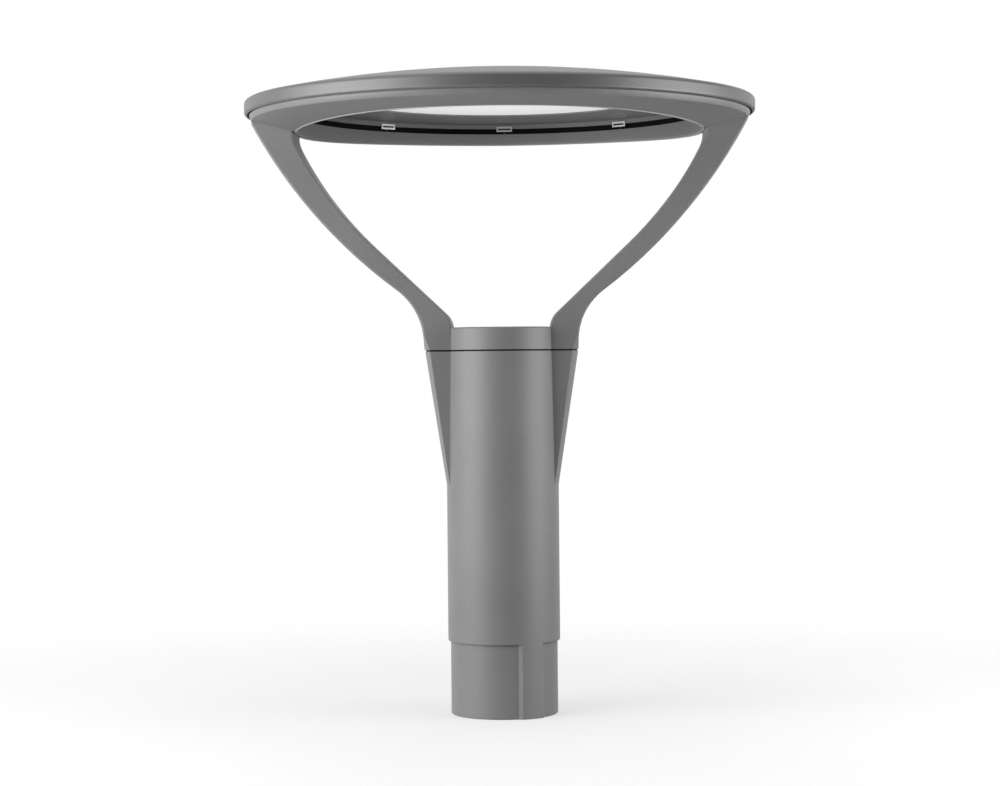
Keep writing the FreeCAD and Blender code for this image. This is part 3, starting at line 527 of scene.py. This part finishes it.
class Finish(Enum):
    """The part's finishes, named as its material slots, plus the smoother roof's, darker as painted shade,
    and the lip bead's, paler as a painted highlight.
    """

    paint = PowderCoat("paint", tone(142, 142, 142), 0.50, 0.17)
    # Darker than the paint: painted shade on the roof.
    roof_shaded_paint = PowderCoat("roof_shaded_paint", tone(128, 128, 128), 0.46, 0.50)
    panel_paint = PowderCoat("panel_paint", tone(138, 138, 138), 0.50, 0.22)
    # Paler than the paint: a painted highlight for the lip bead.
    lip_painted_highlight = PowderCoat("lip_painted_highlight", tone(172, 172, 172), 0.46, 0.17)
    black_rubber = Rubber("black_rubber", tone(3, 3, 4), 0.62)
    stainless = BareMetal("stainless", tone(196, 196, 196), 0.30, (1.0, 1.0, 0.1))
    # The clips' feet, below 0.6133 m, get painted shade.
    clip_steel = BareMetal(
        "clip_steel", tone(232, 232, 232), 0.42, (0.1, 0.1, 1.0), painted_shade_below=0.6133
    )
    # The opal's glow of 0.50 is painted light.
    opal = Opal("opal", tone(238, 238, 238), 0.36, 0.50)
    bare_aluminium = BareMetal("bare_aluminium", tone(200, 202, 204), 0.36, (0.08, 1.0, 1.0))
    board_white = Moulding("board_white", tone(238, 238, 232), 0.34)
    chip = Moulding("chip", tone(236, 204, 92), 0.30, 0.0003)
    white_sheet = Moulding("white_sheet", tone(242, 242, 240), 0.48)
    white_plastic = Moulding("white_plastic", tone(228, 227, 220), 0.42)
    driver_case = Moulding("driver_case", tone(222, 223, 222), 0.45)
    grey_plastic = Moulding("grey_plastic", tone(112, 114, 116), 0.46)
    lead_sheath = Moulding("lead_sheath", tone(44, 44, 46), 0.50)
    wire_sheath = Moulding("wire_sheath", tone(170, 44, 38), 0.44)


class Wardrobe:
    """Hands out each finish's material, made once."""

    def __init__(self) -> None:
        """Starts with no material made."""
        self.made: dict[Finish, bpy.types.Material] = {}

    def material(self, finish: Finish) -> bpy.types.Material:
        """Material of a finish.

        Args:
            finish: which finish.

        Returns:
            Its material.
        """
        if finish not in self.made:
            self.made[finish] = finish.value.material()
        return self.made[finish]

    def dress(self, node: str, finish: Finish) -> None:
        """Gives a solid of the part its finish.

        Args:
            node: the solid's name.
            finish: its finish.
        """
        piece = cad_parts[node]
        for place in piece.material_slots:
            place.material = self.material(finish)
        log.info("%s: %s", node, finish.name)


@dataclass
class Assembly:
    """A sub-assembly of the part: its solids by name, each with its finish."""

    finishes: dict[str, Finish] = field(default_factory=dict)

    def build(self, wardrobe: Wardrobe) -> None:
        """Dresses the sub-assembly's solids.

        Args:
            wardrobe: the materials.
        """
        for node, finish in self.finishes.items():
            wardrobe.dress(node, finish)


@dataclass
class Roof(Assembly):
    """The domed roof cover, its joint and its screws."""

    finishes: dict[str, Finish] = field(default_factory=lambda: {
        "roof_cover": Finish.roof_shaded_paint,
        "roof_gasket": Finish.black_rubber,
        "roof_screws": Finish.stainless,
    })


@dataclass
class ArmFrame(Assembly):
    """The casting of collar, two arms and ring, with the lead in one arm and a pale bead on the ring's lip
    as a painted highlight.
    """

    finishes: dict[str, Finish] = field(default_factory=lambda: {
        "arm_frame": Finish.paint,
        "collar_gasket": Finish.black_rubber,
        "collar_bolts": Finish.stainless,
        "grommet": Finish.black_rubber,
        "lead": Finish.lead_sheath,
    })
    lip_height: float = 0.599
    lip_dip: float = 0.0065
    dip_power: int = 3
    bead_radius: float = 0.2083
    bead_size: float = 0.0009
    bead_start: float = 6.0
    bead_steps: int = 120
    bead_sides: int = 14

    def build(self, wardrobe: Wardrobe) -> None:
        """Dresses the casting and what runs through it, and adds the bead.

        Args:
            wardrobe: the materials.
        """
        super().build(wardrobe)
        self.lip_highlight_bead(wardrobe)

    def lip_highlight_bead(self, wardrobe: Wardrobe) -> None:
        """Adds the bead on the ring's lip, an arc from arm to arm in front and one behind, pale as a
        painted highlight.

        Args:
            wardrobe: the materials.
        """
        rim = bmesh.new()
        bmesh.ops.create_circle(rim, radius=self.bead_size, segments=self.bead_sides)
        upright = Matrix.Rotation(math.radians(90.0), 4, "X")
        spot = Matrix.Translation((self.bead_radius, 0.0, self.lip_height))
        begin = Matrix.Rotation(math.radians(self.bead_start), 4, "Z")
        bmesh.ops.transform(rim, matrix=begin @ spot @ upright, verts=rim.verts)
        bmesh.ops.spin(
            rim,
            geom=rim.verts[:] + rim.edges[:],
            cent=(0.0, 0.0, 0.0),
            axis=(0.0, 0.0, 1.0),
            angle=math.pi - 2 * math.radians(self.bead_start),
            steps=self.bead_steps,
        )
        bmesh.ops.holes_fill(rim, edges=rim.edges, sides=self.bead_sides)
        twin = bmesh.ops.duplicate(rim, geom=rim.verts[:] + rim.edges[:] + rim.faces[:])["geom"]
        turned = [item for item in twin if isinstance(item, bmesh.types.BMVert)]
        bmesh.ops.transform(rim, matrix=Matrix.Rotation(math.pi, 4, "Z"), verts=turned)
        for vert in rim.verts:
            vert.co.z -= self.lip_dip * (abs(vert.co.x) / vert.co.to_2d().length) ** self.dip_power
        bmesh.ops.recalc_face_normals(rim, faces=rim.faces)
        for face in rim.faces:
            face.smooth = True
        mesh = bpy.data.meshes.new("lip_highlight_bead")
        rim.to_mesh(mesh)
        rim.free()
        # Pale finish: a painted highlight along the lip.
        mesh.materials.append(wardrobe.material(Finish.lip_painted_highlight))
        bead = bpy.data.objects.new("lip_highlight_bead", mesh)
        bpy.context.scene.collection.objects.link(bead)
        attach(bead, "root")
        log.info("lip_highlight_bead: %s", Finish.lip_painted_highlight.name)


@dataclass
class LightPanel(Assembly):
    """The opal panel in its frame, and the light board behind it."""

    finishes: dict[str, Finish] = field(default_factory=lambda: {
        "panel_frame": Finish.panel_paint,
        "panel_gasket": Finish.black_rubber,
        "panel_clips": Finish.clip_steel,
        "diffuser": Finish.opal,
        "heat_spreader": Finish.bare_aluminium,
        "light_board": Finish.board_white,
        "chips": Finish.chip,
        "board_screws": Finish.stainless,
        "reflector_skirt": Finish.white_sheet,
        "connector_block": Finish.white_plastic,
        "board_wires": Finish.wire_sheath,
    })


@dataclass
class GearColumn(Assembly):
    """The gear sleeve with its fins, and the gear on the tray inside it."""

    finishes: dict[str, Finish] = field(default_factory=lambda: {
        "gear_sleeve": Finish.paint,
        "post_grubs": Finish.stainless,
        "gear_tray": Finish.bare_aluminium,
        "tray_screws": Finish.stainless,
        "earth_stud": Finish.stainless,
        "led_driver": Finish.driver_case,
        "driver_screws": Finish.stainless,
        "terminal_block": Finish.white_plastic,
        "surge_protector": Finish.grey_plastic,
    })


@dataclass(frozen=True)
class Softbox:
    """A rectangular soft light that faces the part, in degrees, metres and watts."""

    name: str
    azimuth: float
    elevation: float
    distance: float
    width: float
    height: float
    power: float
    aim: tuple[float, float, float] = (0.0, 0.0, 0.40)

    def build(self) -> None:
        """Adds the light, azimuth 0 in front and positive to the right, in degrees."""
        lamp = bpy.data.lights.new(self.name, "AREA")
        lamp.shape = "RECTANGLE"
        lamp.size = self.width
        lamp.size_y = self.height
        lamp.energy = self.power
        holder = bpy.data.objects.new(self.name, lamp)
        holder.visible_camera = False
        bpy.context.scene.collection.objects.link(holder)
        side = math.radians(self.azimuth)
        rise = math.radians(self.elevation)
        reach = math.cos(rise)
        away = Vector((math.sin(side) * reach, -math.cos(side) * reach, math.sin(rise)))
        spot = Vector(self.aim) + away * self.distance
        turn = (-away).to_track_quat("-Z", "Y").to_matrix().to_4x4()
        holder.matrix_world = Matrix.Translation(spot) @ turn


@dataclass(frozen=True)
class PhotoCamera:
    """Camera at the photograph's viewpoint, in metres, radians and pixels of a 1000 by 786 image."""

    distance: float = 2.4638
    height: float = 0.35434
    yaw: float = math.radians(1.3766)
    roll: float = 0.0089
    focal_px: float = 2409.35
    centre_px: tuple[float, float] = (501.856, 365.75)
    image_px: tuple[int, int] = (1000, 786)
    sensor: float = 36.0
    nearest: float = 0.05
    farthest: float = 60.0

    def build(self) -> None:
        """Adds the camera and makes it the scene's own."""
        wide, tall = self.image_px
        lens = bpy.data.cameras.new("photo_camera")
        lens.sensor_fit = "HORIZONTAL"
        lens.sensor_width = self.sensor
        lens.lens = self.sensor * self.focal_px / wide
        lens.shift_x = (wide / 2 - self.centre_px[0]) / wide
        lens.shift_y = (self.centre_px[1] - tall / 2) / wide
        lens.clip_start = self.nearest
        lens.clip_end = self.farthest
        level = Vector((math.cos(self.yaw), math.sin(self.yaw), 0.0))
        upright = Vector((0.0, 0.0, 1.0))
        right = level * math.cos(self.roll) - upright * math.sin(self.roll)
        up = level * math.sin(self.roll) + upright * math.cos(self.roll)
        back = right.cross(up)
        turn = Matrix((right, up, back)).transposed().to_4x4()
        aside = self.distance * math.sin(self.yaw)
        away = self.distance * math.cos(self.yaw)
        spot = Vector((aside, -away, self.height))
        holder = bpy.data.objects.new("photo_camera", lens)
        bpy.context.scene.collection.objects.link(holder)
        holder.matrix_world = Matrix.Translation(spot) @ turn
        bpy.context.scene.camera = holder


@dataclass
class Studio:
    """Pale floor that fades into a white surround, with a wide softbox near each side of the part."""

    floor_radius: float = 1.0
    floor_sides: int = 96
    floor_dark: Colour = tone(240, 240, 240)
    floor_pale: Colour = tone(248, 248, 248)
    mottle_size: float = 0.4
    fade_start: float = 0.22
    floor_white: float = 0.55
    front_level: float = 0.02
    left_level: float = 0.55
    left_edge: tuple[float, float] = (0.2, 0.7)
    back_edge: tuple[float, float] = (0.35, 0.80)
    ceiling_level: float = 1.30
    ceiling_edge: tuple[float, float] = (0.55, 0.95)
    ground_left: float = 0.60
    ground_right: float = 0.10
    ground_split: tuple[float, float] = (-0.2, 0.2)
    ground_edge: tuple[float, float] = (0.05, 0.25)
    boxes: tuple[Softbox, ...] = (
        Softbox("left_softbox", -60.0, 4.0, 1.05, 0.95, 0.82, 8.2),
        Softbox("right_softbox", 75.0, 1.0, 1.05, 0.90, 0.78, 8.0),
    )

    def seen(self, graph: Graph) -> Signal:
        """Picks out the rays that show the background: from the camera, off gloss and through glass.

        Args:
            graph: the graph of the floor or the surround.

        Returns:
            1 for such a ray and 0 for any other.
        """
        camera = graph.add("ShaderNodeLightPath", output="Is Camera Ray")
        glossy = graph.add("ShaderNodeLightPath", output="Is Glossy Ray")
        through = graph.add("ShaderNodeLightPath", output="Is Transmission Ray")
        return camera.at_least(glossy).at_least(through)

    def floor(self) -> None:
        """Adds the floor, whose outer part fades out."""
        made, graph = surface("floor")
        place = graph.place()
        mottle = graph.noise(place, self.mottle_size)
        colour = graph.blend(self.floor_dark, self.floor_pale, mottle)
        matte = graph.add("ShaderNodeBsdfDiffuse", None, {"Color": colour})
        white = graph.add("ShaderNodeEmission", None, {"Color": colour, "Strength": WHITE_LEVEL})
        share = self.seen(graph) * self.floor_white
        pale = graph.add("ShaderNodeMixShader", None, {0: share, 1: matte, 2: white})
        clear = graph.add("ShaderNodeBsdfTransparent")
        fade = graph.step(graph.radius(place), self.fade_start, self.floor_radius)
        mixed = graph.add("ShaderNodeMixShader", None, {0: fade, 1: pale, 2: clear})
        graph.add("ShaderNodeOutputMaterial", None, {"Surface": mixed})
        disc = bmesh.new()
        bmesh.ops.create_circle(
            disc, cap_ends=True, radius=self.floor_radius, segments=self.floor_sides
        )
        mesh = bpy.data.meshes.new("floor")
        disc.to_mesh(mesh)
        disc.free()
        mesh.materials.append(made)
        sheet = bpy.data.objects.new("floor", mesh)
        bpy.context.scene.collection.objects.link(sheet)
        sheet.visible_diffuse = False
        sheet.visible_glossy = False

    def surround(self) -> None:
        """Sets the surround, which the camera sees as white and gloss sees at its levels.

        The levels are white behind, bright above, paler on the left, dim below and dark in front.
        """
        world = bpy.data.worlds.new("surround")
        world.use_nodes = True
        bpy.context.scene.world = world
        graph = Graph(world.node_tree)
        towards = graph.add("ShaderNodeTexCoord", output="Generated")
        leftward = graph.add("ShaderNodeSeparateXYZ", None, {0: towards}, "X") * -1.0
        backward = graph.add("ShaderNodeSeparateXYZ", None, {0: towards}, "Y")
        upward = graph.add("ShaderNodeSeparateXYZ", None, {0: towards}, "Z")
        left_share = graph.step(leftward, *self.left_edge)
        level = self.front_level + left_share * (self.left_level - self.front_level)
        level = level + (WHITE_LEVEL - level) * graph.step(backward, *self.back_edge)
        level = level + (self.ceiling_level - level) * graph.step(upward, *self.ceiling_edge)
        ground_share = graph.step(leftward, *self.ground_split)
        ground = self.ground_right + ground_share * (self.ground_left - self.ground_right)
        level = level + (ground - level) * graph.step(upward * -1.0, *self.ground_edge)
        glossy = graph.add("ShaderNodeLightPath", output="Is Glossy Ray")
        strength = WHITE_LEVEL - glossy * (WHITE_LEVEL - level)
        white = tone(255, 255, 255)
        soft = graph.add("ShaderNodeBackground", None, {"Color": white, "Strength": level})
        shown = graph.add("ShaderNodeBackground", None, {"Color": white, "Strength": strength})
        mixed = graph.add("ShaderNodeMixShader", None, {0: self.seen(graph), 1: soft, 2: shown})
        graph.add("ShaderNodeOutputWorld", None, {"Surface": mixed})

    def build(self) -> None:
        """Adds the floor, the surround and the lights."""
        self.floor()
        self.surround()
        for box in self.boxes:
            box.build()
        bpy.context.scene.view_settings.view_transform = "Standard"


def main() -> None:
    """Builds the studio and dresses each sub-assembly in order."""
    logging.basicConfig(level=logging.INFO, format="%(message)s")
    PhotoCamera().build()
    wardrobe = Wardrobe()
    for assembly in (Roof(), ArmFrame(), LightPanel(), GearColumn()):
        assembly.build(wardrobe)
        log.info("%s is dressed", type(assembly).__name__)
    Studio().build()


if __name__ == "__main__":
    main()
